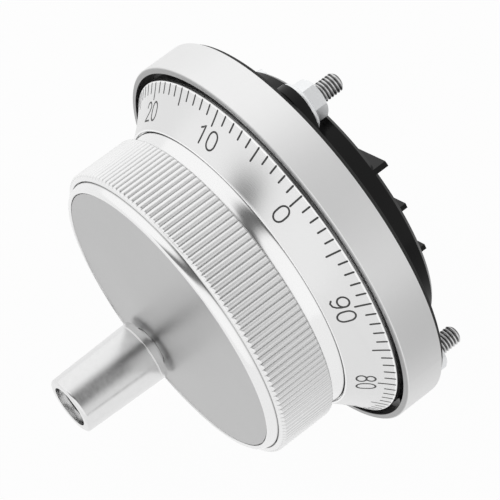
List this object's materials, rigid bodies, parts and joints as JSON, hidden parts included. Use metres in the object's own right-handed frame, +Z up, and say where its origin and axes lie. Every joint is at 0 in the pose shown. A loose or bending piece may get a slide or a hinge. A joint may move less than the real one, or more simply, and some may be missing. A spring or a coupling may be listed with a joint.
{
  "type": "pulse generator handwheel",
  "caption": "Round fluted handwheel with a graduated conical dial and a small turning crank handle, in a metal bezel with a rear terminal housing and mounting studs.",
  "frame": {"origin": "on the shaft's axis, in the plane of the panel's face that the gasket rests on", "axes": "-Y along the shaft towards the operator, +Z up towards the top stud, +X to the operator's right"},
  "size_m": [0.08, 0.0637, 0.08],
  "materials": {
    "satin_metal": "fine blasted, anodised silver",
    "dial_metal": "satin, with dark engraved graduations",
    "wheel_metal": "polished waist and crown, bright flutes",
    "plate_metal": "fine matte",
    "handle_metal": "turned and polished",
    "pin_steel": "turned",
    "bush_plastic": "plain",
    "moulded_black": "glossy moulded",
    "pad_plastic": "plain moulded",
    "seal": "matte",
    "zinc": "bright zinc plated",
    "contact": "nickel plated",
    "laminate": "green solder mask",
    "chip_plastic": "moulded epoxy",
    "can_metal": "plain can",
    "code_metal": "blackened sheet",
    "turned_metal": "turned",
    "bearing_steel": "ground",
    "magnet": "nickel plated"
  },
  "bodies": {
    "panel_side": {"bezel_body": "satin_metal", "mounting_gasket": "seal", "mounting_studs": "zinc", "stud_pads": "pad_plastic", "flat_washers": "zinc", "hex_nuts": "zinc", "rear_housing": "moulded_black", "housing_screws": "zinc", "terminal_tabs": "contact", "terminal_clamps": "contact", "terminal_screws": "contact", "board_pins": "contact", "encoder_board": "laminate", "board_spacers": "contact", "board_screws": "zinc", "photo_sensor": "chip_plastic", "sensor_mask": "code_metal", "light_emitter": "chip_plastic", "emitter_bracket": "chip_plastic", "line_driver": "chip_plastic", "smoothing_capacitor": "can_metal", "bearing_housing": "turned_metal", "bearing_housing_screws": "zinc", "rear_bearing_outer": "bearing_steel", "front_bearing_outer": "bearing_steel", "detent_yoke": "turned_metal", "yoke_screws": "zinc", "detent_magnets": "magnet", "detent_shoes": "bearing_steel"},
    "wheel": {"code_wheel": "code_metal", "code_wheel_hub": "turned_metal", "rear_bearing_inner": "bearing_steel", "front_bearing_inner": "bearing_steel", "shaft": "bearing_steel", "bearing_spacer": "turned_metal", "shaft_clip": "bearing_steel", "detent_rotor": "bearing_steel", "dial_skirt": "dial_metal", "dial_screws": "zinc", "knurled_wheel": "wheel_metal", "wheel_screws": "zinc", "face_plate": "plate_metal", "wheel_hub": "turned_metal", "hub_set_screws": "zinc", "handle_pin": "pin_steel"},
    "handle": {"handle_sleeve": "handle_metal", "handle_bush": "bush_plastic"}
  },
  "joints": [
    {"name": "wheel_spin", "type": "hinge", "parent": "panel_side", "child": "wheel", "pos_m": [0, 0, 0], "axis": [0, 1, 0], "continuous": true},
    {"name": "handle_spin", "type": "hinge", "parent": "wheel", "child": "handle", "pos_m": [-0.00849, -0.034, -0.0203], "axis": [0, 1, 0], "continuous": true}
  ]
}
